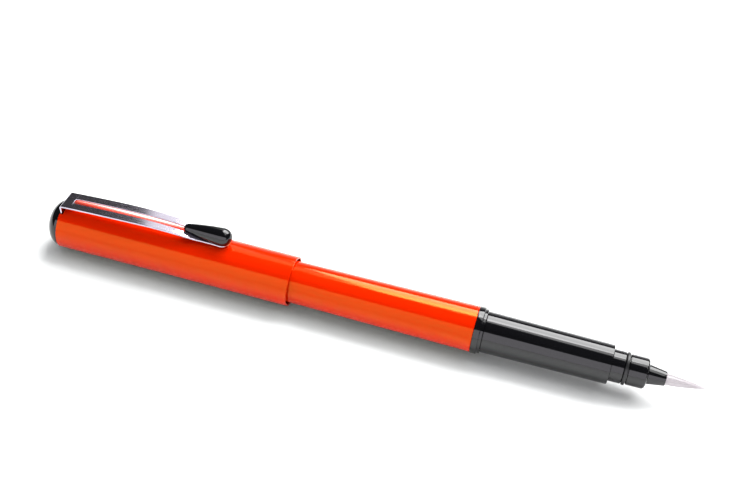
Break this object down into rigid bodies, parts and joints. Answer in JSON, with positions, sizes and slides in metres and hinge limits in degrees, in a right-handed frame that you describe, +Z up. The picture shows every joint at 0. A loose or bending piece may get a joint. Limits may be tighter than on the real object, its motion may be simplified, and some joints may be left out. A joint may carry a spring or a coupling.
{
  "type": "brush pen",
  "caption": "Brush pen on its side: a round barrel with the clipped cap posted on its tail, a screw-in grip holding an ink cartridge and feed, and a pointed tuft of bristles.",
  "frame": {"origin": "centre of the underside of the bounding box, on the table the posted cap rests on", "axes": "+X along the pen from the cap's crown to the tip of the bristles, +Z up through the clip, +Y to the pen's left seen from the crown towards the tip"},
  "size_m": [0.164, 0.0124, 0.0169],
  "materials": {
    "orange_plastic": "moulded, highly polished",
    "black_plastic": "moulded, highly polished",
    "chromed_steel": "bright plated",
    "liner_plastic": "moulded, satin",
    "seal_rubber": "matte",
    "nylon": "fine translucent filaments",
    "feed_plastic": "moulded, satin",
    "clear_plastic": "milky, half clear",
    "ink": "wet black"
  },
  "bodies": {
    "barrel": {"barrel": "orange_plastic"},
    "cap": {"cap_shell": "orange_plastic", "cap_crown": "black_plastic", "inner_cap": "liner_plastic"},
    "clip": {"clip_strip": "chromed_steel", "clip_bulb": "black_plastic"},
    "collar": {"collar_ring": "black_plastic"},
    "section": {"grip_section": "black_plastic", "nose_sleeve": "black_plastic", "nose_ring": "seal_rubber", "ferrule": "black_plastic", "bristle_root": "nylon", "ink_feed": "feed_plastic", "feed_tube": "clear_plastic", "relay_wick": "nylon"},
    "tuft": {"bristle_tuft": "nylon"},
    "cartridge": {"cartridge_shell": "clear_plastic", "seal_ball": "clear_plastic", "ink_charge": "ink"}
  },
  "joints": [
    {"name": "cap_slide", "type": "slide", "parent": "barrel", "child": "cap", "axis": [-1, 0, 0], "range_m": [0, 0.035]},
    {"name": "clip_flex", "type": "hinge", "parent": "cap", "child": "clip", "pos_m": [-0.07752, 0, 0.01136], "axis": [0, -1, 0], "range_deg": [0, 4], "stiffness_Nm_per_rad": 0.15, "springref_deg": -5.73},
    {"name": "section_advance", "type": "slide", "parent": "barrel", "child": "collar", "axis": [1, 0, 0], "range_m": [0, 0.00675]},
    {"name": "section_unscrew", "type": "hinge", "parent": "collar", "child": "section", "pos_m": [0.0279, 0, 0.00616], "axis": [1, 0, 0], "range_deg": [0, 1620.1]},
    {"name": "cartridge_seat", "type": "slide", "parent": "section", "child": "cartridge", "axis": [1, 0, 0], "range_m": [-0.00675, 0]},
    {"name": "tuft_flex", "type": "hinge", "parent": "section", "child": "tuft", "pos_m": [0.072, 0, 0.00616], "axis": [0, 1, 0], "range_deg": [-20, 20], "stiffness_Nm_per_rad": 0.0002}
  ],
  "couplings": [
    {"joint": "section_unscrew", "follows": "section_advance", "rad_per_m": 4188.8},
    {"joint": "cartridge_seat", "follows": "section_advance", "ratio": -1}
  ]
}
